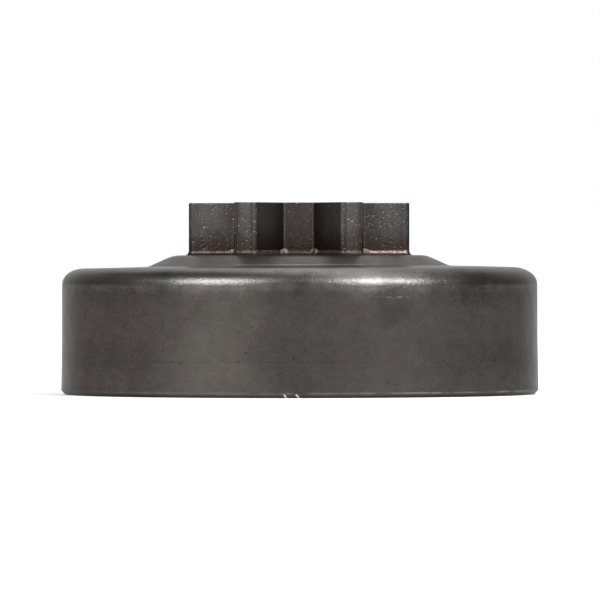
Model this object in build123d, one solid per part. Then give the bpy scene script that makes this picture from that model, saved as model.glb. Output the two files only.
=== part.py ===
from build123d import *
import math
import os

# A chainsaw clutch drum with its chain sprocket, in millimetres.
# The drum stands on its open rim, which lies in the plane Z = 0. Z is the shaft axis, towards the sprocket.

# Drum: a cup drawn from one steel sheet and turned true inside
drum_diameter = 70.0
wall_thickness = 3.0
wall_height = 15.9            # rim to the start of the shoulder
corner_radius = 2.3           # the shoulder bends tightly where it leaves the wall
crown_radius = 4.5            # and more gently where it runs into the web
crown_turn = 30.0             # degrees of the shoulder that the gentle bend takes
web_cone_angle = 1.4          # the web climbs by this many degrees towards the middle
web_thickness = 3.0
rim_chamfer = 0.6

# Boss: pressed up in the middle of the web to seat the sprocket
boss_foot_diameter = 44.2
boss_rise = 1.6
boss_slope_angle = 24.0
boss_edge_radius = 4.4
recess_margin = 3.1           # the turned recess behind the boss ends this far inside the boss foot

# Sprocket: a spur wheel whose gaps take the drive links of a low-profile chain
tooth_count = 6
tip_diameter = 32.4
root_diameter = 19.6
tip_width = 3.5
flank_taper_angle = 10.5      # each flank leans by this much to the middle of its tooth
tip_corner_radius = 1.0
root_corner_radius = 0.65
tooth_face_width = 7.65
bore_diameter = 13.0
bore_chamfer = 0.5
spigot_diameter = 18.0
spigot_stand_out = 0.8        # the spigot stands this far out of the web, inside the drum

# Copper braze that holds the sprocket
braze_joint_gap = 0.05        # between the spigot and its hole in the web
braze_leg = 0.5               # height and width of the bead round the foot of the teeth

# Half sizes that follow from the sizes above
drum_radius = drum_diameter / 2
friction_radius = drum_radius - wall_thickness
boss_foot_reach = boss_foot_diameter / 2
recess_reach = boss_foot_reach - recess_margin
tip_reach = tip_diameter / 2
root_reach = root_diameter / 2
bore_radius = bore_diameter / 2
spigot_radius = spigot_diameter / 2
spigot_hole_radius = spigot_radius + braze_joint_gap

# The shoulder, drawn in the plane of radius and height
corner_turn = 90 - web_cone_angle - crown_turn
shoulder_corner = JernArc((drum_radius, wall_height), (0, 1), corner_radius, corner_turn)
shoulder_crown = JernArc(shoulder_corner @ 1, shoulder_corner % 1, crown_radius, crown_turn)
web_edge = shoulder_crown @ 1

# Levels above the rim
web_climb = (web_edge.X - boss_foot_reach) * math.tan(math.radians(web_cone_angle))
boss_foot_level = web_edge.Y + web_climb
boss_top_level = boss_foot_level + boss_rise
web_back_level = boss_foot_level - web_thickness
seat_back_level = boss_top_level - web_thickness
spigot_end_level = seat_back_level - spigot_stand_out
sprocket_end_level = boss_top_level + tooth_face_width


def drum_section():
    """Half section of the cup, in the plane of radius and height."""
    boss_edge_reach = boss_foot_reach - boss_rise / math.tan(math.radians(boss_slope_angle))
    wall = Polyline(
        (drum_radius - rim_chamfer, 0),
        (drum_radius, rim_chamfer),
        (drum_radius, wall_height),
    )
    web = FilletPolyline(
        (web_edge.X, web_edge.Y),
        (boss_foot_reach, boss_foot_level),
        (boss_edge_reach, boss_top_level),
        (spigot_hole_radius, boss_top_level),
        radius=(0, boss_edge_radius),
    )
    inside = Polyline(
        (spigot_hole_radius, boss_top_level),
        (spigot_hole_radius, seat_back_level),
        (recess_reach, seat_back_level),
        (recess_reach, web_back_level),
        (friction_radius, web_back_level),
        (friction_radius, 0),
        (drum_radius - rim_chamfer, 0),
    )
    return make_face(wall + shoulder_corner + shoulder_crown + web + inside)


def clutch_drum():
    """The whole cup is one turned form round the shaft axis."""
    return revolve(Plane.XZ * drum_section(), axis=Axis.Z)


def tooth():
    """One tooth with its tip at +X. Its base lies at the axis, inside the root circle."""
    half_tip = tip_width / 2
    corner_reach = math.sqrt(tip_reach**2 - half_tip**2)
    half_base = half_tip + corner_reach * math.tan(math.radians(flank_taper_angle))
    flanks = Polyline(
        (corner_reach, half_tip),
        (0, half_base),
        (0, -half_base),
        (corner_reach, -half_tip),
    )
    crest = ThreePointArc((corner_reach, -half_tip), (tip_reach, 0), (corner_reach, half_tip))
    return make_face(flanks + crest)


def reach_of(point):
    """Distance of a point from the shaft axis."""
    return math.hypot(point.X, point.Y)


def sprocket_outline():
    """Root circle and teeth, with rounded tip corners and rounded root corners."""
    pitch_angle = 360 / tooth_count
    outline = Circle(root_reach)
    for index in range(tooth_count):
        outline += Rot(Z=index * pitch_angle) * tooth()
    middle_reach = (root_reach + tip_reach) / 2
    tip_corners = outline.vertices().filter_by(lambda corner: reach_of(corner) > middle_reach)
    outline = fillet(tip_corners, tip_corner_radius)
    root_corners = outline.vertices().filter_by(lambda corner: reach_of(corner) < middle_reach)
    return fillet(root_corners, root_corner_radius)


def upright_cylinder(radius, bottom, top):
    """A cylinder on the shaft axis between two levels."""
    return extrude(Pos(Z=bottom) * Circle(radius), top - bottom)


def toothed_wheel():
    """The teeth and their hub as one plain prism on the boss."""
    return Pos(Z=boss_top_level) * extrude(sprocket_outline(), tooth_face_width)


def spur_sprocket():
    """Toothed wheel with a spigot down through the web and a bore right through."""
    spigot = upright_cylinder(spigot_radius, spigot_end_level, boss_top_level)
    bore = upright_cylinder(bore_radius, spigot_end_level, sprocket_end_level)
    wheel = toothed_wheel() + spigot - bore
    circles = wheel.edges().filter_by(GeomType.CIRCLE)
    bore_edges = circles.filter_by(lambda edge: math.isclose(edge.radius, bore_radius))
    return chamfer(bore_edges, bore_chamfer)


def braze_bead():
    """Bead of run copper in the corner between the foot of the teeth and the boss."""
    bead_reach = tip_reach + braze_leg
    seat = upright_cylinder(bead_reach + braze_leg, seat_back_level, boss_top_level)
    joint = seat + toothed_wheel()
    seat_level_edges = joint.edges().filter_by_position(Axis.Z, boss_top_level, boss_top_level)
    foot_edges = seat_level_edges.filter_by(lambda edge: reach_of(edge @ 0) < bead_reach)
    return chamfer(foot_edges, braze_leg) - seat - toothed_wheel()


os.makedirs("parts", exist_ok=True)
for node in (clutch_drum, spur_sprocket, braze_bead):
    export_step(node(), f"parts/{node.__name__}.step")
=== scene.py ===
import math

import bpy
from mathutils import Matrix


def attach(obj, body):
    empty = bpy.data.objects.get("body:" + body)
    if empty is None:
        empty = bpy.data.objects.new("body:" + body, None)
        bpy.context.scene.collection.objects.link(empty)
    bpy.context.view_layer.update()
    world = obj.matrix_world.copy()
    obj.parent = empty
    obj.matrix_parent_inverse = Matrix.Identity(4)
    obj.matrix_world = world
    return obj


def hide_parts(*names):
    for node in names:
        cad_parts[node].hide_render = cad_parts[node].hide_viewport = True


# The looks of a chainsaw clutch drum with its spur sprocket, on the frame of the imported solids.
# Sizes are in millimetres as on the drawing, and become metres where a mesh is made.
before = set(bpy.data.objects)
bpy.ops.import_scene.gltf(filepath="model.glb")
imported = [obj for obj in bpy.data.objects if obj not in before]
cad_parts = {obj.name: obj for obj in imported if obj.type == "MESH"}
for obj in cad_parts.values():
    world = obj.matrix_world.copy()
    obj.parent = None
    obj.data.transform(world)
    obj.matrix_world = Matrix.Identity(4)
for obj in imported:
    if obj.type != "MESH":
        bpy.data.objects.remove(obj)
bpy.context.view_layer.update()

MM = 0.001

# Drum
drum_radius = 35.0
wall_height = 15.9
bell_mouth = 0.12             # the wall stands this much wider at the rim than at the shoulder
bell_mouth_height = 8.0
web_lean = math.radians(0.2)  # the web was pressed out of true, lower on the left
corner_radius = 2.3
crown_radius = 4.5
crown_turn = math.radians(30.0)
web_cone_angle = math.radians(1.4)
web_thickness = 3.0
wall_thickness = 3.0
rim_chamfer = 0.6

# Boss
boss_foot_radius = 22.1
boss_rise = 1.6
boss_slope_angle = math.radians(24.0)
boss_edge_radius = 4.4
boss_shift = -0.15            # the boss was pressed a little to the left
recess_radius = 19.0

# Sprocket
tooth_count = 6
tip_radius = 16.2
root_radius = 9.8
half_tip_width = 1.75
flank_taper_angle = math.radians(10.5)
tip_corner_radius = 1.0
root_corner_radius = 0.65
tooth_face_width = 7.65
bore_radius = 6.5
bore_chamfer = 0.5
spigot_radius = 9.0
spigot_stand_out = 0.8
sprocket_turn = math.radians(-0.35)   # the wheel was brazed on a little out of line
sprocket_shift = -0.09                # and a little to the left
edge_band = 0.6               # the ends of the wheel follow the tooth outline over this width
front_flank = 4.2             # the flanks of the gap in front stand this far to each side
pit_cell = 0.54               # from one pit to the next
pit_share = 0.42              # share of a cell that a large pit takes

# Copper braze
braze_joint_gap = 0.05
braze_height = 0.72
braze_width = 0.55

# Levels that follow from the sizes above
corner_turn = math.pi / 2 - web_cone_angle - crown_turn
first_bend_level = wall_height + corner_radius * math.tan(corner_turn / 2)
bend_gap = corner_radius * math.tan(corner_turn / 2) + crown_radius * math.tan(crown_turn / 2)
second_bend_radius = drum_radius - bend_gap * math.sin(corner_turn)
second_bend_level = first_bend_level + bend_gap * math.cos(corner_turn)
web_climb = (second_bend_radius - boss_foot_radius) * math.tan(web_cone_angle)
boss_foot_level = second_bend_level + web_climb
boss_top_level = boss_foot_level + boss_rise
boss_edge_reach = boss_foot_radius - boss_rise / math.tan(boss_slope_angle)
web_back_level = boss_foot_level - web_thickness
seat_back_level = boss_top_level - web_thickness
spigot_end_level = seat_back_level - spigot_stand_out
sprocket_end_level = boss_top_level + tooth_face_width


# Short ways to build objects and node trees

def add_object(name, data):
    """A new object in the scene."""
    made = bpy.data.objects.new(name, data)
    bpy.context.scene.collection.objects.link(made)
    return made


def empty_tree(owner):
    """The node tree of a material or world, with nothing in it."""
    owner.use_nodes = True
    owner.node_tree.nodes.clear()
    return owner.node_tree


def set_inputs(tree, node, values):
    """Set each input of a node to a plain value, or link it to another node's output."""
    for place, value in values.items():
        if isinstance(value, bpy.types.NodeSocket):
            tree.links.new(value, node.inputs[place])
        else:
            node.inputs[place].default_value = value


def add_node(tree, kind, values=None, **settings):
    """A new node: its settings, then its inputs."""
    made = tree.nodes.new(kind)
    for name, value in settings.items():
        setattr(made, name, value)
    set_inputs(tree, made, values or {})
    return made


def maths(tree, operation, *terms):
    """The result of a Math node."""
    return add_node(tree, "ShaderNodeMath", dict(enumerate(terms)), operation=operation).outputs[0]


def product(tree, *terms):
    """Several values multiplied."""
    result = terms[0]
    for term in terms[1:]:
        result = maths(tree, "MULTIPLY", result, term)
    return result


def total(tree, *terms):
    """Several values added up."""
    result = terms[0]
    for term in terms[1:]:
        result = maths(tree, "ADD", result, term)
    return result


def gap_to(tree, value, middle):
    """How far a value lies from a middle, to either side."""
    return maths(tree, "ABSOLUTE", maths(tree, "SUBTRACT", value, middle))


def vector_maths(tree, operation, *terms):
    """The vector that a Vector Math node gives."""
    values = dict(enumerate(terms))
    return add_node(tree, "ShaderNodeVectorMath", values, operation=operation).outputs["Vector"]


def vector_number(tree, operation, *terms):
    """The number that a Vector Math node gives."""
    values = dict(enumerate(terms))
    return add_node(tree, "ShaderNodeVectorMath", values, operation=operation).outputs["Value"]


def scaled(tree, vector, factor):
    """A vector times a number."""
    values = {0: vector, "Scale": factor}
    return add_node(tree, "ShaderNodeVectorMath", values, operation="SCALE").outputs[0]


def parts_of(tree, vector):
    """The X, Y and Z of a vector."""
    return add_node(tree, "ShaderNodeSeparateXYZ", {0: vector}).outputs


def vector_from(tree, **parts):
    """A vector from its X, Y and Z. A part that is not given is 0."""
    return add_node(tree, "ShaderNodeCombineXYZ", parts).outputs[0]


def eased(tree, value, start, end, low=0.0, high=1.0):
    """A value carried from start..end to low..high, eased at both ends."""
    values = {"Value": value, "From Min": start, "From Max": end, "To Min": low, "To Max": high}
    return add_node(tree, "ShaderNodeMapRange", values, interpolation_type="SMOOTHSTEP").outputs[0]


def linear(tree, value, start, end, low=0.0, high=1.0):
    """A value carried from start..end to low..high along a straight line, and held at both ends."""
    values = {"Value": value, "From Min": start, "From Max": end, "To Min": low, "To Max": high}
    return add_node(tree, "ShaderNodeMapRange", values, clamp=True).outputs[0]


def blend_vectors(tree, share, first, second):
    """The first vector where the share is 0, the second where it is 1."""
    values = {0: share, 4: first, 5: second}
    return add_node(tree, "ShaderNodeMix", values, data_type="VECTOR").outputs[1]


def blend_colours(tree, share, first, second, way="MIX"):
    """The first colour where the share is 0, the second where it is 1."""
    values = {0: share, 6: first, 7: second}
    return add_node(tree, "ShaderNodeMix", values, data_type="RGBA", blend_type=way).outputs[2]


def noise(tree, place, size, detail=2.0, roughness=0.5, seed=0.0):
    """Soft noise from 0 to 1 whose blotches are about as large as the given size in millimetres."""
    values = {
        "Vector": place,
        "W": seed,
        "Scale": 1 / (size * MM),
        "Detail": detail,
        "Roughness": roughness,
    }
    return add_node(tree, "ShaderNodeTexNoise", values, noise_dimensions="4D").outputs[0]


def cells(tree, place, size):
    """A scatter of cells of a size in millimetres: distance to the nearest centre, and a chance value."""
    values = {"Vector": place, "Scale": 1 / (size * MM)}
    made = add_node(tree, "ShaderNodeTexVoronoi", values).outputs
    return made["Distance"], parts_of(tree, made["Color"])["X"]


# Guides: closed loops of corners that the forms are drawn from

def guide(name, points, numbers):
    """A closed loop of points in millimetres, with named numbers stored on them."""
    mesh = bpy.data.meshes.new(name)
    places = [tuple(value * MM for value in point) for point in points]
    mesh.from_pydata(places, [(index, (index + 1) % len(points)) for index in range(len(points))], [])
    for label, values in numbers.items():
        mesh.attributes.new(label, "FLOAT", "POINT").data.foreach_set("value", values)
    return add_object(name, mesh)


def section_guide(name, corners):
    """A section from corners: radius, level, rounding, share of the outline, row spacing to the next."""
    return guide(name, [(reach, 0, level) for reach, level, *rest in corners], {
        "rounding": [corner[2] * MM for corner in corners],
        "share": [corner[3] for corner in corners],
        "spacing": [corner[4] * MM for corner in corners],
    })


def outline_guide(name, corners, shift=0.0):
    """An outline from corners (reach, angle, rounding), shifted along X."""
    points = []
    for reach, angle, rounding in corners:
        points.append((reach * math.cos(angle) + shift, reach * math.sin(angle), 0))
    return guide(name, points, {"rounding": [corner[2] * MM for corner in corners]})


def drum_section():
    """Half section of the cup, from the rim up the wall, in over the web and back inside."""
    fine_edge = 0.12
    friction_radius = drum_radius - wall_thickness
    wall_radius = drum_radius - bell_mouth
    corners = [
        (drum_radius - rim_chamfer, 0, fine_edge),
        (drum_radius, rim_chamfer, 0.3),
        (wall_radius, bell_mouth_height, 60.0),
        (wall_radius, first_bend_level, corner_radius),
        (second_bend_radius - bell_mouth, second_bend_level, crown_radius),
        (boss_foot_radius, boss_foot_level, 1.2),
        (boss_edge_reach, boss_top_level, boss_edge_radius),
        (spigot_radius + braze_joint_gap, boss_top_level, 0.0),
        (spigot_radius + braze_joint_gap, seat_back_level, fine_edge),
        (recess_radius, seat_back_level, 0.4),
        (recess_radius, web_back_level, 0.4),
        (friction_radius, web_back_level, 0.8),
        (friction_radius, 0, 0.4),
    ]
    wide = 5.0
    on_chamfer = 0.12
    spacings = [on_chamfer] + [wide] * (len(corners) - 1)
    return section_guide("drum_section", [corner + (0.0, gap) for corner, gap in zip(corners, spacings)])


def drum_outline():
    """The circle that the drum's section is carried round."""
    steps = 120
    corners = [(drum_radius, 2 * math.pi * step / steps, drum_radius) for step in range(steps)]
    return outline_guide("drum_outline", corners)


def flank_root_angle():
    """Half the angle that a tooth takes where its flanks meet the root circle."""
    lean = math.tan(flank_taper_angle)
    tip_corner_reach = math.sqrt(tip_radius**2 - half_tip_width**2)
    half_base = half_tip_width + tip_corner_reach * lean
    root = math.sqrt((half_base * lean) ** 2 - (1 + lean**2) * (half_base**2 - root_radius**2))
    along = (half_base * lean + root) / (1 + lean**2)
    return math.atan2(half_base - lean * along, along)


def tooth_outline():
    """The outline of the wheel. Each tooth has two root corners, two tip corners, a crest and a root arc."""
    pitch = 2 * math.pi / tooth_count
    root_half = flank_root_angle()
    tip_half = math.asin(half_tip_width / tip_radius)
    arc_steps = 12
    arc_span = pitch - 2 * root_half
    around = [
        (root_radius, -root_half, root_corner_radius),
        (tip_radius, -tip_half, tip_corner_radius),
        (tip_radius, 0.0, tip_radius),
        (tip_radius, tip_half, tip_corner_radius),
        (root_radius, root_half, root_corner_radius),
    ]
    # The first and last stretch of the root arc are left long enough for the corner's rounding.
    for step in range(2, arc_steps - 1):
        around.append((root_radius, root_half + arc_span * step / arc_steps, 0.0))
    corners = []
    for index in range(tooth_count):
        turn = index * pitch + sprocket_turn
        corners += [(reach, angle + turn, rounding) for reach, angle, rounding in around]
    return outline_guide("tooth_outline", corners, sprocket_shift)


def sprocket_section():
    """Half section of the wheel. A share of 1 follows the tooth outline, and a share of 0 is turned."""
    fine_edge = 0.1
    fine = 0.125
    wide = 2.0
    corners = [
        (root_radius, boss_top_level, 0.0, 1.0, fine),
        (root_radius, sprocket_end_level, 0.14, 1.0, wide),
        (root_radius - edge_band, sprocket_end_level, 0.0, 1.0, wide),
        (bore_radius + bore_chamfer, sprocket_end_level, fine_edge, 0.0, wide),
        (bore_radius, sprocket_end_level - bore_chamfer, fine_edge, 0.0, wide),
        (bore_radius, spigot_end_level + bore_chamfer, fine_edge, 0.0, wide),
        (bore_radius + bore_chamfer, spigot_end_level, fine_edge, 0.0, wide),
        (spigot_radius, spigot_end_level, 0.2, 0.0, wide),
        (spigot_radius, boss_top_level, 0.0, 0.0, wide),
        (root_radius - edge_band, boss_top_level, 0.0, 1.0, wide),
    ]
    return section_guide("sprocket_section", corners)


def bead_section():
    """Hollow corner bead: an arc that leaves the boss and ends on the tooth, then the corner behind it."""
    steps = 10
    corners = []
    for step in range(steps + 1):
        angle = math.pi / 2 * step / steps
        out = braze_width * (1 - math.sin(angle))
        up = braze_height * (1 - math.cos(angle))
        corners.append((root_radius + out, boss_top_level + up, 0.0, 1.0, braze_height))
    corners.append((root_radius, boss_top_level, 0.0, 1.0, braze_height))
    return section_guide("bead_section", corners)


# Forms: a section carried round an outline

LOFT_INPUTS = {
    "Section": "NodeSocketGeometry",
    "Outline": "NodeSocketObject",
    "Outline points": "NodeSocketInt",
    "Corner points": "NodeSocketInt",
    "Finish": "NodeSocketMaterial",
}


def form_tree(name, *sizes):
    """A new geometry tree and its inputs: those of every loft, and this form's own sizes by name."""
    tree = bpy.data.node_groups.new(name, "GeometryNodeTree")
    for label, kind in LOFT_INPUTS.items():
        tree.interface.new_socket(label, in_out="INPUT", socket_type=kind)
    for label in sizes:
        tree.interface.new_socket(label, in_out="INPUT", socket_type="NodeSocketFloat")
    tree.interface.new_socket("Form", in_out="OUTPUT", socket_type="NodeSocketGeometry")
    return tree, add_node(tree, "NodeGroupInput").outputs


def position(tree):
    """Where each point is."""
    return add_node(tree, "GeometryNodeInputPosition").outputs[0]


def attribute(tree, name, kind="FLOAT"):
    """The values that were stored on the points under a name."""
    return add_node(tree, "GeometryNodeInputNamedAttribute", {"Name": name}, data_type=kind).outputs[0]


def store(tree, geometry, name, value, kind="FLOAT"):
    """The geometry with a value stored on its points under a name."""
    values = {"Geometry": geometry, "Name": name, "Value": value}
    return add_node(tree, "GeometryNodeStoreNamedAttribute", values, data_type=kind).outputs[0]


def moved(tree, mesh, offset):
    """The mesh with its points moved by an offset."""
    return add_node(tree, "GeometryNodeSetPosition", {"Geometry": mesh, "Offset": offset}).outputs[0]


def push_out(tree, mesh, amount):
    """The mesh with its points moved along their normals."""
    normal = add_node(tree, "GeometryNodeInputNormal").outputs[0]
    return moved(tree, mesh, scaled(tree, normal, amount))


def rounded_loop(tree, geometry, corner_points):
    """A loop of corners as a curve, each corner rounded by its own radius."""
    curve = add_node(tree, "GeometryNodeMeshToCurve", {"Mesh": geometry}).outputs[0]
    values = {
        "Curve": curve,
        "Count": corner_points,
        "Radius": attribute(tree, "rounding"),
        "Limit Radius": True,
    }
    return add_node(tree, "GeometryNodeFilletCurve", values, mode="POLY").outputs[0]


def outline_line(tree, inputs):
    """The outline as an even line, which keeps its place and its outward direction on each point."""
    outline = add_node(tree, "GeometryNodeObjectInfo", {"Object": inputs["Outline"]}).outputs["Geometry"]
    line = rounded_loop(tree, outline, inputs["Corner points"])
    values = {"Curve": line, "Count": inputs["Outline points"]}
    line = add_node(tree, "GeometryNodeResampleCurve", values).outputs[0]
    tangent = add_node(tree, "GeometryNodeInputTangent").outputs[0]
    outward = vector_maths(tree, "CROSS_PRODUCT", tangent, (0, 0, 1))
    line = store(tree, line, "rim", position(tree), "FLOAT_VECTOR")
    return store(tree, line, "outward", outward, "FLOAT_VECTOR")


def section_line(tree, inputs):
    """The section with rows no further apart than each corner's spacing. It keeps its radius and level."""
    profile = rounded_loop(tree, inputs["Section"], inputs["Corner points"])
    place = position(tree)
    here = add_node(tree, "GeometryNodeInputIndex").outputs[0]
    values = {"Point Index": here, "Offset": 1}
    ahead = add_node(tree, "GeometryNodeOffsetPointInCurve", values).outputs["Point Index"]
    values = {"Value": place, "Index": ahead}
    next_place = add_node(tree, "GeometryNodeFieldAtIndex", values, data_type="FLOAT_VECTOR").outputs[0]
    step = vector_number(tree, "DISTANCE", place, next_place)
    cuts = maths(tree, "FLOOR", maths(tree, "DIVIDE", step, attribute(tree, "spacing")))
    profile = add_node(tree, "GeometryNodeSubdivideCurve", {"Curve": profile, "Cuts": cuts}).outputs[0]
    parts = parts_of(tree, place)
    profile = store(tree, profile, "reach", parts["X"])
    return store(tree, profile, "level", parts["Z"])


def ring_loft(tree, inputs):
    """The section carried round the outline, closed both ways."""
    values = {"Curve": outline_line(tree, inputs), "Profile Curve": section_line(tree, inputs)}
    loft = add_node(tree, "GeometryNodeCurveToMesh", values).outputs[0]
    loft = add_node(tree, "GeometryNodeFlipFaces", {"Mesh": loft}).outputs[0]

    # A point follows the outline, or is turned round the axis, or lies between the two.
    reach = attribute(tree, "reach")
    rim = attribute(tree, "rim", "FLOAT_VECTOR")
    outward = attribute(tree, "outward", "FLOAT_VECTOR")
    inset = maths(tree, "MAXIMUM", maths(tree, "SUBTRACT", reach, root_radius * MM), -edge_band * MM)
    followed = vector_maths(tree, "ADD", rim, scaled(tree, outward, inset))
    turned = scaled(tree, vector_maths(tree, "NORMALIZE", rim), reach)
    flat = blend_vectors(tree, attribute(tree, "share"), turned, followed)
    rise = vector_from(tree, Z=attribute(tree, "level"))
    values = {"Geometry": loft, "Position": vector_maths(tree, "ADD", flat, rise)}
    return add_node(tree, "GeometryNodeSetPosition", values).outputs[0]


def finish_form(tree, mesh, finish):
    """The end of every form: smooth faces, real geometry and its material."""
    for name in ("rim", "outward", "reach", "level", "share", "rounding", "spacing"):
        mesh = add_node(tree, "GeometryNodeRemoveAttribute", {"Geometry": mesh, "Name": name}).outputs[0]
    mesh = add_node(tree, "GeometryNodeSetShadeSmooth", {"Geometry": mesh}).outputs[0]
    mesh = add_node(tree, "GeometryNodeRealizeInstances", {"Geometry": mesh}).outputs[0]
    mesh = add_node(tree, "GeometryNodeSetMaterial", {"Geometry": mesh, "Material": finish}).outputs[0]
    add_node(tree, "NodeGroupOutput", {"Form": mesh})


def made_piece(name, section, tree, sizes):
    """A plain mesh object from a section guide and a form tree, and the guides taken away."""
    modifier = section.modifiers.new("Form", "NODES")
    modifier.node_group = tree
    for item in tree.interface.items_tree:
        if item.in_out == "INPUT" and item.name in sizes:
            modifier[item.identifier] = sizes[item.name]
    shown = section.evaluated_get(bpy.context.evaluated_depsgraph_get())
    mesh = bpy.data.meshes.new_from_object(shown)
    mesh.name = name
    section.modifiers.remove(modifier)
    piece = add_object(name, mesh)
    for spare in [section] + [value for value in sizes.values() if isinstance(value, bpy.types.Object)]:
        bpy.data.objects.remove(spare)
    return piece


# Places on the part, for its forms and its materials alike

def reach_from_axis(tree, place):
    """Distance of a place from the shaft axis."""
    return vector_number(tree, "LENGTH", vector_maths(tree, "MULTIPLY", place, (1, 1, 0)))


def angle_from_tooth(tree, place):
    """Angle at the shaft axis between a place and the middle of the nearest tooth."""
    parts = parts_of(tree, place)
    angle = maths(tree, "SUBTRACT", maths(tree, "ARCTAN2", parts["Y"], parts["X"]), sprocket_turn)
    return maths(tree, "PINGPONG", angle, math.pi / tooth_count)


def front_flanks(tree, place, outer, inner):
    """1 near the two flanks of the gap that faces the camera, and 0 from the outer distance on."""
    parts = parts_of(tree, place)
    from_flank = gap_to(tree, maths(tree, "ABSOLUTE", parts["X"]), front_flank * MM)
    on_flank = eased(tree, from_flank, outer * MM, inner * MM)
    return product(tree, on_flank, eased(tree, parts["Y"], -7.0 * MM, -9.0 * MM))


def pitted_share(tree, place):
    """How much of the pitting a place has: all of it, but little on the flanks of the gap in front."""
    spared = product(tree, front_flanks(tree, place, 2.3, 1.9), 0.85)
    return maths(tree, "SUBTRACT", 1.0, spared)


def rim_knocks(tree, place):
    """Distance to the nearest of two slanting lines down the rim's chamfer, where knocks have dented it."""
    height = 0.4
    foot_reach = drum_radius - rim_chamfer
    nearest = 1.0
    for across, slant in ((-2.07, 0.30), (-0.3, 0.36)):
        out = math.sqrt((foot_reach + height) ** 2 - across**2)
        start = ((across - slant / 2) * MM, -out * MM, height * MM)
        run = (slant * MM, height * MM, -height * MM)
        from_start = vector_maths(tree, "SUBTRACT", place, start)
        along = vector_number(tree, "DOT_PRODUCT", from_start, run)
        share = linear(tree, along, 0.0, sum(value**2 for value in run))
        away = vector_number(tree, "DISTANCE", from_start, scaled(tree, run, share))
        nearest = maths(tree, "MINIMUM", nearest, away)
    return nearest


# The form of each piece

def leaning_web(tree, mesh):
    """The web and shoulder lean to the left outside the sprocket's seat, and the boss sits to the left."""
    reach = attribute(tree, "reach")
    off_seat = eased(tree, reach, 17.0 * MM, 20.0 * MM)
    off_wall = eased(tree, reach, 34.0 * MM, 30.0 * MM)
    off_back = eased(tree, attribute(tree, "level"), 15.5 * MM, 17.5 * MM)
    leaning = product(tree, off_seat, off_wall, off_back)
    rise = product(tree, parts_of(tree, position(tree))["X"], math.tan(web_lean), leaning)
    on_boss = product(tree, off_seat, eased(tree, reach, 27.0 * MM, 23.0 * MM), off_back)
    shift = product(tree, on_boss, boss_shift * MM)
    return moved(tree, mesh, vector_from(tree, X=shift, Z=rise))


def drum_tree():
    """The cup, with a web that leans a little and the dents that knocks have left in its rim."""
    tree, inputs = form_tree("Drum form", "Knock depth")
    mesh = leaning_web(tree, ring_loft(tree, inputs))
    dent = eased(tree, rim_knocks(tree, position(tree)), 0.28 * MM, 0.05 * MM)
    mesh = push_out(tree, mesh, product(tree, dent, inputs["Knock depth"], -1))
    finish_form(tree, mesh, inputs["Finish"])
    return tree


def large_pits(tree, place):
    """1 at the bottom of each pit in the faces of the teeth. The pits stay clear of the bead and the end."""
    distance, chance = cells(tree, place, pit_cell)
    size = eased(tree, chance, 0.2, 1.0, 0.0, pit_share)
    pit = eased(tree, distance, size, product(tree, size, 0.2))
    level = attribute(tree, "level")
    above = eased(tree, level, (boss_top_level + 0.5) * MM, (boss_top_level + 1.0) * MM)
    below = eased(tree, level, (sprocket_end_level - 0.1) * MM, (sprocket_end_level - 0.4) * MM)
    return product(tree, pit, product(tree, above, below), pitted_share(tree, place))


def tip_corners(tree, place):
    """1 on the rounded corners of the tips, and 0 on crests and flanks."""
    reach = reach_from_axis(tree, place)
    beside = product(tree, maths(tree, "SINE", angle_from_tooth(tree, place)), reach)
    at_tip = eased(tree, reach, 14.4 * MM, 15.2 * MM)
    return product(tree, at_tip, eased(tree, beside, 0.7 * MM, 1.45 * MM))


def sprocket_tree():
    """The toothed wheel, with pits in the faces of its teeth."""
    tree, inputs = form_tree("Sprocket form", "Pit depth")
    place = position(tree)
    # The tip corners are stored for the painted shade that the material puts on them.
    mesh = store(tree, ring_loft(tree, inputs), "tip_corner", tip_corners(tree, place))
    mesh = push_out(tree, mesh, product(tree, large_pits(tree, place), inputs["Pit depth"], -1))
    finish_form(tree, mesh, inputs["Finish"])
    return tree


def root_lumps(tree, place):
    """1 in the corners of the roots, where copper stayed in lumps."""
    from_corner = gap_to(tree, angle_from_tooth(tree, place), flank_root_angle())
    in_corner = eased(tree, product(tree, from_corner, root_radius), 0.6, 0.1)
    reach = reach_from_axis(tree, place)
    return product(tree, in_corner, eased(tree, reach, (root_radius + 1.1) * MM, (root_radius + 0.6) * MM))


def bead_tree():
    """The copper bead, uneven where it ran, with lumps that stayed in the corners of the roots."""
    tree, inputs = form_tree("Bead form", "Unevenness", "Lump width", "Lump rise")
    place = position(tree)
    mesh = store(tree, ring_loft(tree, inputs), "lump", root_lumps(tree, place))
    lump = attribute(tree, "lump")
    wave = maths(tree, "SUBTRACT", noise(tree, place, 0.8, 3.0), 0.5)
    swell = product(tree, wave, inputs["Unevenness"])
    mesh = push_out(tree, mesh, total(tree, swell, product(tree, lump, inputs["Lump width"])))
    up = linear(tree, attribute(tree, "level"), boss_top_level * MM, (boss_top_level + braze_height) * MM)
    mesh = moved(tree, mesh, vector_from(tree, Z=product(tree, lump, up, inputs["Lump rise"])))
    finish_form(tree, mesh, inputs["Finish"])
    return tree


# Short ways to build materials

def new_material(name):
    """An empty material: its tree, its shader and its Object coordinates."""
    material = bpy.data.materials.new(name)
    tree = empty_tree(material)
    shader = add_node(tree, "ShaderNodeBsdfPrincipled")
    add_node(tree, "ShaderNodeOutputMaterial", {"Surface": shader.outputs[0]})
    place = add_node(tree, "ShaderNodeTexCoord").outputs["Object"]
    return material, tree, shader, place


def stored(tree, name):
    """The values that a form stored on its points, for its material."""
    return add_node(tree, "ShaderNodeAttribute", attribute_name=name).outputs["Fac"]


def bumped(tree, height, depth, under=None):
    """A normal that stands up by the given depth in millimetres where the height is 1."""
    values = {"Height": height, "Distance": depth * MM}
    if under is not None:
        values["Normal"] = under
    return add_node(tree, "ShaderNodeBump", values).outputs[0]


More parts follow.
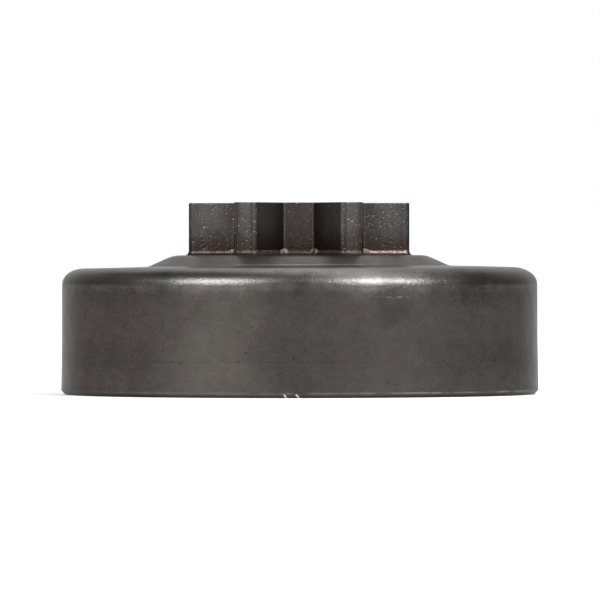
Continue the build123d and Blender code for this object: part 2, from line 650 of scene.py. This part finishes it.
def band(tree, value, middle, half_width):
    """1 where a value is at the middle of a band, and 0 from its edges on. Both sizes are in millimetres."""
    away = gap_to(tree, value, middle * MM)
    return eased(tree, away, half_width * MM, 0.3 * half_width * MM)


def shaded(tree, colour, factor):
    """A colour made darker or lighter by a factor."""
    grey = vector_from(tree, X=factor, Y=factor, Z=factor)
    return blend_colours(tree, 1.0, colour, grey, "MULTIPLY")


def shaded_where(tree, colour, share, factor):
    """A colour that is darker or lighter by a factor where the share is 1."""
    return shaded(tree, colour, linear(tree, share, 0.0, 1.0, 1.0, factor))


def dots(tree, place, cell, least_chance, largest):
    """Soft round dots, at most one in each cell of a size in millimetres. Larger ones are stronger."""
    gap, chance = cells(tree, place, cell)
    size = linear(tree, chance, least_chance, 1.0, 0.0, largest)
    return linear(tree, maths(tree, "SUBTRACT", size, gap), 0.0, 0.6 * largest)


def machined_colour(tree, lightness):
    """Bright steel of a turned or ground face, uneven by a lightness from 0 to 1."""
    return blend_colours(tree, lightness, (0.22, 0.215, 0.205, 1), (0.36, 0.35, 0.335, 1))


# Steel of the drum

# Stains, and painted light and shade, on the side of the wall that faces the camera. Those high on the
# shoulder are painted shade and light beside the lamps' highlights. Each is across, up, size and change of
# lightness
wall_stains_and_painted_light = (
    (-12.9, 3.0, 12.0, 0.25),
    (-8.0, 13.5, 6.0, 0.18),
    (-19.8, 17.5, 3.5, -0.25),
    (0.0, 16.3, 2.4, -0.22),
    (9.0, 18.0, 5.0, 0.2),
    (11.5, 8.0, 9.0, -0.12),
    (13.0, 13.0, 4.5, -0.22),
    (19.7, 17.2, 3.4, -0.28),
    (25.0, 18.0, 6.5, -0.38),
)


def with_stains_and_painted_light(tree, place, colour):
    """The colour of the wall, lighter or darker in each stain and in the painted light and shade beside the
    highlights.
    """
    values = {"Vector": place, "Scale": 1 / (2.5 * MM), "Detail": 4.0}
    ragged = add_node(tree, "ShaderNodeTexNoise", values).outputs["Color"]
    wander = scaled(tree, vector_maths(tree, "SUBTRACT", ragged, (0.5, 0.5, 0.5)), 6.0 * MM)
    spread = vector_maths(tree, "ADD", place, wander)
    lightness = 1.0
    for across, up, size, change in wall_stains_and_painted_light:
        middle = (across * MM, -math.sqrt(drum_radius**2 - across**2) * MM, up * MM)
        away = vector_number(tree, "DISTANCE", spread, middle)
        lightness = total(tree, lightness, eased(tree, away, size * MM, 0.25 * size * MM, 0.0, change))
    return shaded(tree, colour, lightness)


def drum_blotches(tree, place):
    """The large blotches of the drum's oxide."""
    return noise(tree, place, 2.6, 5.0, 0.62)


def off_web_share(tree, place):
    """0 on the web, and 1 on the shoulder and wall."""
    return eased(tree, reach_from_axis(tree, place), 27.0 * MM, 31.0 * MM)


def boss_share(tree, place):
    """1 on the boss, and 0 on the web."""
    return eased(tree, reach_from_axis(tree, place), 22.5 * MM, 22.0 * MM)


def outside_share(tree, place):
    """1 on the outside of the wall and on its rim's chamfer."""
    return eased(tree, reach_from_axis(tree, place), 33.6 * MM, 34.1 * MM)


def drum_oxide(tree, place):
    """Dark oxide, redder or greener from place to place, with its stains and painted light and shade."""
    mottle = linear(tree, drum_blotches(tree, place), 0.32, 0.68)
    tint = noise(tree, place, 1.5, 4.0, 0.6, 4.0)
    grain = noise(tree, place, 0.3, 3.0, 0.6, 8.0)
    base = blend_colours(tree, mottle, (0.081, 0.074, 0.067, 1), (0.116, 0.107, 0.098, 1))
    base = blend_colours(tree, linear(tree, tint, 0.5, 0.7, 0.0, 0.7), base, (0.116, 0.096, 0.087, 1))
    base = blend_colours(tree, linear(tree, tint, 0.5, 0.3, 0.0, 0.6), base, (0.086, 0.089, 0.074, 1))
    base = shaded(tree, base, linear(tree, grain, 0.25, 0.75, 0.85, 1.15))
    return with_stains_and_painted_light(tree, place, base)


def shoulder_sheen_and_wall_shade(tree, place, base):
    """The shoulder is lighter than the wall, partly a painted sheen that strengthens the lamps' highlights,
    and the wall is darker down from a ragged edge under them. The web is a little bluer. Its left was
    covered once.
    """
    parts = parts_of(tree, place)
    ragged = product(tree, maths(tree, "SUBTRACT", drum_blotches(tree, place), 0.5), 2.5 * MM)
    on_wall = eased(tree, total(tree, parts["Z"], ragged), 16.3 * MM, 14.6 * MM)
    # Painted sheen: the shoulder's colour is made lighter all round, for the lamps' highlights on it.
    web_tint_and_shoulder_sheen = blend_colours(tree, off_web_share(tree, place), (1.0, 0.98, 1.08, 1), (1.26, 1.30, 1.38, 1))
    sheen_and_darker_wall = blend_colours(tree, on_wall, web_tint_and_shoulder_sheen, (0.8, 0.8, 0.8, 1))
    base = blend_colours(tree, 1.0, base, sheen_and_darker_wall, "MULTIPLY")
    slant = total(tree, parts["X"], product(tree, parts["Z"], -0.3), ragged)
    covered = eased(tree, slant, -22.0 * MM, -23.6 * MM)
    return blend_colours(tree, product(tree, covered, on_wall), base, (1.01, 0.96, 1.01, 1), "MULTIPLY")


def boss_tone_and_painted_light(tree, place, base):
    """The boss is duller than the web. A painted glint runs along its foot in front, and painted light
    lightens it under the left tooth.
    """
    parts = parts_of(tree, place)
    on_boss = boss_share(tree, place)
    base = shaded_where(tree, base, on_boss, 0.8)
    in_front = eased(tree, parts["Y"], -10.0 * MM, -15.0 * MM)
    ahead = product(tree, eased(tree, maths(tree, "ABSOLUTE", parts["X"]), 9.6 * MM, 8.6 * MM), in_front)
    # Painted glint: a bright line along the foot of the boss, in front only.
    painted_foot_glint = product(tree, band(tree, reach_from_axis(tree, place), 21.7, 0.17), ahead)
    base = shaded_where(tree, base, painted_foot_glint, 2.2)
    from_left_tooth = gap_to(tree, parts["X"], -7.3 * MM)
    # Painted light: the boss is lighter under the left tooth.
    painted_light_under_tooth = product(tree, on_boss, in_front, eased(tree, from_left_tooth, 3.0 * MM, 1.4 * MM))
    return shaded_where(tree, base, painted_light_under_tooth, 1.35)


def painted_crown_shade(tree, place, base):
    """Painted shade: the crown of the shoulder is a little darker, more so to both sides."""
    parts = parts_of(tree, place)
    off_web = eased(tree, reach_from_axis(tree, place), 26.0 * MM, 29.0 * MM)
    crown = product(tree, off_web, eased(tree, parts["Z"], 17.3 * MM, 18.0 * MM))
    beside = maths(tree, "ABSOLUTE", parts["X"])
    crown = product(tree, crown, eased(tree, beside, 3.0 * MM, 16.0 * MM, 0.05, 0.27))
    return shaded(tree, base, maths(tree, "SUBTRACT", 1.0, crown))


def specks(tree, place, base):
    """Dark spots of scale and light grains on the shoulder and wall."""
    off_web = off_web_share(tree, place)
    spot = product(tree, dots(tree, place, 0.85, 0.3, 0.30), off_web, 0.6)
    base = blend_colours(tree, spot, base, (0.030, 0.028, 0.026, 1))
    shifted = vector_maths(tree, "ADD", place, (3.1 * MM, 1.7 * MM, 0.9 * MM))
    fleck = product(tree, dots(tree, shifted, 0.6, 0.6, 0.24), off_web, 0.4)
    return blend_colours(tree, fleck, base, (0.21, 0.20, 0.18, 1))


def wall_marks(tree, place, base):
    """A faint line round the wall, and a scuff under the shoulder."""
    parts = parts_of(tree, place)
    broken = linear(tree, noise(tree, place, 1.8, 3.0, 0.6, 13.0), 0.4, 0.55)
    line = product(tree, outside_share(tree, place), band(tree, parts["Z"], 5.1, 0.14), broken, 0.35)
    base = blend_colours(tree, line, base, (0.040, 0.038, 0.035, 1))
    dashes = linear(tree, noise(tree, place, 0.9, 2.0, 0.5, 17.0), 0.48, 0.58)
    scuff = product(tree, band(tree, parts["Z"], 14.3, 0.16), band(tree, parts["X"], 13.3, 3.2), dashes)
    scuff = product(tree, scuff, eased(tree, parts["Y"], 0.0, -5.0 * MM, 0.0, 0.5))
    return blend_colours(tree, scuff, base, (0.22, 0.21, 0.20, 1))


def rim_wear_and_painted_shade(tree, place, base):
    """The rim has painted shade along the foot of its chamfer and is lighter in patches along the top of the
    chamfer, more so to the right. In the knocks the metal shows through, painted bright as glints.
    """
    parts = parts_of(tree, place)
    outside = outside_share(tree, place)
    # Painted shade along the foot of the rim.
    foot = product(tree, outside, eased(tree, parts["Z"], 0.5 * MM, 0.2 * MM, 0.0, 0.6))
    base = blend_colours(tree, foot, base, (0.030, 0.028, 0.026, 1))
    patchy = linear(tree, noise(tree, place, 3.0, 3.0, 0.6, 11.0), 0.36, 0.58)
    lighter_edge = product(tree, outside, band(tree, parts["Z"], 0.66, 0.16), patchy)
    lighter_edge = product(tree, lighter_edge, eased(tree, parts["X"], -25.0 * MM, 22.0 * MM, 0.12, 0.6))
    base = blend_colours(tree, lighter_edge, base, (0.26, 0.25, 0.235, 1))
    # The metal in the knocks is painted bright, as glints.
    bare_and_glinting = eased(tree, rim_knocks(tree, place), 0.2 * MM, 0.12 * MM)
    return blend_colours(tree, bare_and_glinting, base, (0.8, 0.79, 0.77, 1))


def turned_wall(tree, place, base):
    """Inside, the wall that the clutch shoes rub on was turned bright, in fine rings."""
    level = parts_of(tree, place)["Z"]
    reach = reach_from_axis(tree, place)
    turned = product(
        tree,
        eased(tree, reach, 33.2 * MM, 32.6 * MM),
        eased(tree, reach, 30.5 * MM, 31.4 * MM),
        eased(tree, level, 15.9 * MM, 15.5 * MM),
    )
    rings = noise(tree, vector_from(tree, X=reach, Z=level), 0.16, 2.0)
    return blend_colours(tree, turned, base, machined_colour(tree, rings))


def drum_grit(tree, place):
    """The shoulder is sandy, the wall less so, and the web and boss are smooth."""
    skin = noise(tree, place, 0.34, 3.0, 0.65, 2.0)
    grit = product(tree, skin, linear(tree, off_web_share(tree, place), 0.0, 1.0, 0.08, 1.0))
    return product(tree, grit, eased(tree, parts_of(tree, place)["Z"], 12.5 * MM, 15.5 * MM, 0.6, 1.0))


def drum_steel():
    """Dark satin steel of the drum: oxide with stains, a sandy skin, specks, rim wear and a glossier web,
    with painted light and shade on the shoulder, boss and rim.
    """
    material, tree, shader, place = new_material("drum_steel")
    base = drum_oxide(tree, place)
    for layer in (shoulder_sheen_and_wall_shade, boss_tone_and_painted_light, painted_crown_shade, specks, wall_marks, rim_wear_and_painted_shade, turned_wall):
        base = layer(tree, place, base)
    roughness = linear(tree, drum_blotches(tree, place), 0.3, 0.7, 0.36, 0.31)
    set_inputs(tree, shader, {
        "Base Color": base,
        "Metallic": 1.0,
        "Specular Tint": (0.58, 0.58, 0.58, 1),
        "Roughness": total(tree, roughness, product(tree, boss_share(tree, place), 0.05)),
        "Normal": bumped(tree, drum_grit(tree, place), 0.05),
    })
    return material


# Steel of the sprocket

def wheel_blotches(tree, place):
    """The large blotches of the wheel's oxide."""
    return noise(tree, place, 2.4, 4.0, 0.6, 1.0)


def wheel_grain(tree, place):
    """The fine grain of the wheel's steel."""
    return noise(tree, place, 0.28, 3.0, 0.65, 3.0)


def wheel_oxide(tree, place):
    """Furnace-grey oxide, with a reddish painted shade in the roots, and lighter where there are few pits.
    """
    reach = reach_from_axis(tree, place)
    mottle = linear(tree, wheel_blotches(tree, place), 0.3, 0.7)
    tint = noise(tree, place, 1.2, 3.0, 0.6, 9.0)
    base = blend_colours(tree, mottle, (0.083, 0.080, 0.075, 1), (0.119, 0.115, 0.109, 1))
    base = blend_colours(tree, linear(tree, tint, 0.5, 0.7, 0.0, 0.4), base, (0.110, 0.087, 0.080, 1))
    base = shaded(tree, base, linear(tree, wheel_grain(tree, place), 0.25, 0.75, 0.8, 1.2))
    # Painted shade deep in the roots between the teeth.
    painted_root_shade = eased(tree, reach, 12.6 * MM, 10.2 * MM)
    base = blend_colours(tree, painted_root_shade, base, (0.67, 0.59, 0.56, 1), "MULTIPLY")
    return shaded(tree, base, linear(tree, pitted_share(tree, place), 0.15, 1.0, 1.2, 1.0))


def tooth_painted_light_and_shade(tree, place, base):
    """Painted shade darkens the right of the wheel, the rounded tip corners and the outer corners of the
    tips in front. Painted light lightens the very outer edges of those front tips. The crests are darker.
    """
    parts = parts_of(tree, place)
    reach = reach_from_axis(tree, place)
    # Painted shade on the right of the wheel, then on the rounded tip corners.
    base = shaded(tree, base, eased(tree, parts["X"], 8.0 * MM, 11.0 * MM, 1.0, 0.88))
    base = shaded_where(tree, base, stored(tree, "tip_corner"), 0.86)
    front_reach = tip_radius - 3.5
    wheel_middle = sprocket_shift + front_reach * math.sin(sprocket_turn)
    across = gap_to(tree, parts["X"], wheel_middle * MM)
    at_tip = eased(tree, reach, 14.6 * MM, 15.2 * MM)
    in_front = eased(tree, parts["Y"], -10.5 * MM, -11.5 * MM)
    # Painted shade on the outer corners of the tips in front, and painted light on their very edges.
    outer = product(tree, at_tip, in_front, eased(tree, across, 8.35 * MM, 8.95 * MM))
    base = shaded_where(tree, base, outer, 0.64)
    lighter_edge = product(tree, outer, eased(tree, across, 8.95 * MM, 9.3 * MM))
    base = shaded_where(tree, base, lighter_edge, 3.2)
    return shaded(tree, base, eased(tree, reach, 15.2 * MM, 15.7 * MM, 1.0, 0.88))


def copper_flush_and_shade(tree, place, base):
    """Dark copper that fades up from the foot of the teeth, partly painted shade that darkens them towards
    their foot.
    """
    waver = product(tree, maths(tree, "SUBTRACT", wheel_blotches(tree, place), 0.5), 4.0 * MM)
    level = total(tree, parts_of(tree, place)["Z"], waver)
    flush_and_shade = eased(tree, level, (boss_top_level + 5.0) * MM, (boss_top_level + 0.6) * MM, 0.0, 0.9)
    return blend_colours(tree, flush_and_shade, base, (0.052, 0.036, 0.032, 1))


def ground_bore(tree, place, base):
    """The bore that the needles run on was ground bright."""
    ground = eased(tree, reach_from_axis(tree, place), 6.75 * MM, 6.6 * MM)
    return blend_colours(tree, ground, base, machined_colour(tree, wheel_grain(tree, place)))


def fine_pits_and_glints(tree, place):
    """Fine pits between the large ones, fewer in the roots and none in the bore."""
    reach = reach_from_axis(tree, place)
    off_root = eased(tree, reach, 10.2 * MM, 12.6 * MM, 0.35, 1.0)
    on_teeth = product(tree, off_root, eased(tree, reach, 9.4 * MM, 9.7 * MM))
    return product(tree, dots(tree, place, 0.33, 0.15, 0.4), on_teeth, pitted_share(tree, place))


def sprocket_steel():
    """Darker steel of the wheel, pitted with painted glints, with painted shade in the roots and dark
    copper, partly painted shade, at its foot.
    """
    material, tree, shader, place = new_material("sprocket_steel")
    base = wheel_oxide(tree, place)
    for layer in (tooth_painted_light_and_shade, copper_flush_and_shade, ground_bore):
        base = layer(tree, place, base)
    pit = fine_pits_and_glints(tree, place)
    # The fine pits are painted lighter, as glints, and the bump below dents them.
    base = blend_colours(tree, product(tree, pit, 0.65), base, (0.34, 0.33, 0.31, 1))
    surface = bumped(tree, wheel_grain(tree, place), 0.03)
    set_inputs(tree, shader, {
        "Base Color": base,
        "Metallic": 1.0,
        "Specular Tint": (0.12, 0.12, 0.12, 1),
        "Roughness": linear(tree, wheel_blotches(tree, place), 0.3, 0.7, 0.40, 0.33),
        "Normal": bumped(tree, maths(tree, "SUBTRACT", 1.0, pit), 0.07, surface),
    })
    return material


# Copper of the bead

def bare_copper_and_painted_light(tree, place):
    """How much of the copper shows bright: in streaks all round, most along the right tooth in front, which
    is a painted highlight, and little low on the bead, which is painted shade.
    """
    parts = parts_of(tree, place)
    streak = noise(tree, place, 0.55, 3.0, 0.6, 5.0)
    along_right = eased(tree, parts["X"], 9.6 * MM, 10.6 * MM)
    along_left = eased(tree, parts["X"], -9.6 * MM, -10.6 * MM)
    in_front = eased(tree, parts["Y"], -1.0 * MM, -1.9 * MM)
    # Painted highlight: bright copper along the front of the right tooth, and a little along the left one.
    run = product(tree, along_right, in_front, linear(tree, streak, 0.25, 0.7, 0.16, 0.38))
    left_painted_highlight = product(tree, along_left, in_front, 0.06)
    all_round = linear(tree, streak, 0.35, 0.8, 0.02, 0.09)
    on_lumps = product(tree, stored(tree, "lump"), linear(tree, streak, 0.3, 0.7, 0.0, 0.05))
    in_gap = product(tree, front_flanks(tree, place, 2.0, 1.5), 0.06)
    bare_and_glinting = total(tree, run, left_painted_highlight, all_round, on_lumps, in_gap)
    # Painted shade: low on the bead the copper stays dark.
    up = eased(tree, parts["Z"], (boss_top_level + 0.22) * MM, (boss_top_level + 0.5) * MM, 0.1, 0.9)
    return product(tree, bare_and_glinting, up)


def copper_braze():
    """Run copper, browned for the most part, with a painted highlight along the right tooth in front and
    painted shade low on the bead.
    """
    material, tree, shader, place = new_material("copper_braze")
    bare_and_glinting = bare_copper_and_painted_light(tree, place)
    share = linear(tree, bare_and_glinting, 0.0, 1.0)
    set_inputs(tree, shader, {
        "Base Color": blend_colours(tree, share, (0.048, 0.038, 0.035, 1), (0.62, 0.475, 0.43, 1)),
        "Metallic": 1.0,
        "Specular Tint": (0.3, 0.3, 0.3, 1),
        "Roughness": linear(tree, bare_and_glinting, 0.0, 0.8, 0.5, 0.34),
        "Normal": bumped(tree, noise(tree, place, 0.25, 2.0, 0.5, 6.0), 0.02),
    })
    return material


# Pieces

def dress(piece, node):
    """A piece that stands for a solid of the frame: it is hung on the root, and the solid is hidden."""
    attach(piece, "root")
    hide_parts(node)


def make_pieces():
    """The three pieces of the part."""
    drum = made_piece("drum_shell", drum_section(), drum_tree(), {
        "Outline": drum_outline(),
        "Outline points": 960,
        "Corner points": 6,
        "Finish": drum_steel(),
        "Knock depth": 0.15 * MM,
    })
    dress(drum, "clutch_drum")
    wheel = made_piece("toothed_wheel", sprocket_section(), sprocket_tree(), {
        "Outline": tooth_outline(),
        "Outline points": 880,
        "Corner points": 6,
        "Finish": sprocket_steel(),
        "Pit depth": 0.09 * MM,
    })
    dress(wheel, "spur_sprocket")
    bead = made_piece("copper_bead", bead_section(), bead_tree(), {
        "Outline": tooth_outline(),
        "Outline points": 1500,
        "Corner points": 6,
        "Finish": copper_braze(),
        "Unevenness": 0.13 * MM,
        "Lump width": 0.12 * MM,
        "Lump rise": 0.3 * MM,
    })
    dress(bead, "braze_bead")


# Studio

def studio_floor():
    """A wide white floor that keeps the shadow of the part."""
    mesh = bpy.data.meshes.new("studio_floor")
    half = 12.0
    under = -0.02 * MM
    corners = [(-half, -half, under), (half, -half, under), (half, half, under), (-half, half, under)]
    mesh.from_pydata(corners, [], [(0, 1, 2, 3)])
    floor = add_object("studio_floor", mesh)
    material = bpy.data.materials.new("white_floor")
    tree = empty_tree(material)
    rays = add_node(tree, "ShaderNodeLightPath").outputs
    seen = maths(tree, "MAXIMUM", rays["Is Camera Ray"], rays["Is Glossy Ray"])
    seen = maths(tree, "MAXIMUM", seen, rays["Is Transmission Ray"])
    matt = add_node(tree, "ShaderNodeBsdfDiffuse", {"Color": (0.7, 0.7, 0.7, 1)}).outputs[0]
    glow = add_node(tree, "ShaderNodeEmission", {"Strength": product(tree, seen, 0.27)}).outputs[0]
    both = add_node(tree, "ShaderNodeAddShader", {0: matt, 1: glow}).outputs[0]
    add_node(tree, "ShaderNodeOutputMaterial", {"Surface": both})
    mesh.materials.append(material)


def studio_world():
    """A dim room with a bright backdrop behind the part and a panel overhead. The camera sees white."""
    world = bpy.data.worlds.new("studio_room")
    bpy.context.scene.world = world
    tree = empty_tree(world)
    way = add_node(tree, "ShaderNodeTexCoord").outputs["Generated"]
    parts = parts_of(tree, way)
    ambient = eased(tree, parts["Z"], 0.0, 0.6, 0.07, 0.28)
    backdrop = eased(tree, parts["Y"], 0.6, 0.95, 0.0, 0.9)
    across = gap_to(tree, vector_number(tree, "DOT_PRODUCT", way, (1, 0.42, 0)), 0.31)
    beside = eased(tree, across, 0.44, 0.02)
    panel = product(tree, beside, eased(tree, parts["Z"], 0.25, 0.85, 0.0, 2.7))
    seen = add_node(tree, "ShaderNodeLightPath").outputs["Is Camera Ray"]
    strength = maths(tree, "MAXIMUM", total(tree, ambient, backdrop, panel), seen)
    light = add_node(tree, "ShaderNodeBackground", {"Color": (1, 1, 1, 1), "Strength": strength}).outputs[0]
    add_node(tree, "ShaderNodeOutputWorld", {"Surface": light})


def soft_lamp(name, azimuth, elevation, strength):
    """A large soft lamp aimed at the part. Angles are in degrees, and azimuth 0 is the camera's side."""
    data = bpy.data.lights.new(name, "SUN")
    data.energy = strength
    data.angle = math.radians(30.0)
    lamp = add_object(name, data)
    lamp.rotation_euler = (math.radians(90.0 - elevation), 0.0, math.radians(azimuth))


def studio_camera():
    """A long lens straight from the side, a little above the middle of the wall."""
    data = bpy.data.cameras.new("studio_camera")
    data.sensor_width = 36.0
    data.lens = 420.0
    camera = add_object("studio_camera", data)
    distance = 1027.0
    eye_level = 17.8
    aim_level = 13.79
    to_the_right = 0.04
    camera.location = (to_the_right * MM, -distance * MM, eye_level * MM)
    tilt = math.atan2(eye_level - aim_level, distance)
    camera.rotation_euler = (math.pi / 2 - tilt, math.radians(0.05), 0.0)
    bpy.context.scene.camera = camera


make_pieces()
studio_floor()
studio_world()
soft_lamp("left_lamp", -46.0, 31.5, 2.6)
soft_lamp("right_lamp", 44.5, 32.0, 3.0)
studio_camera()
bpy.context.scene.view_settings.view_transform = "Standard"
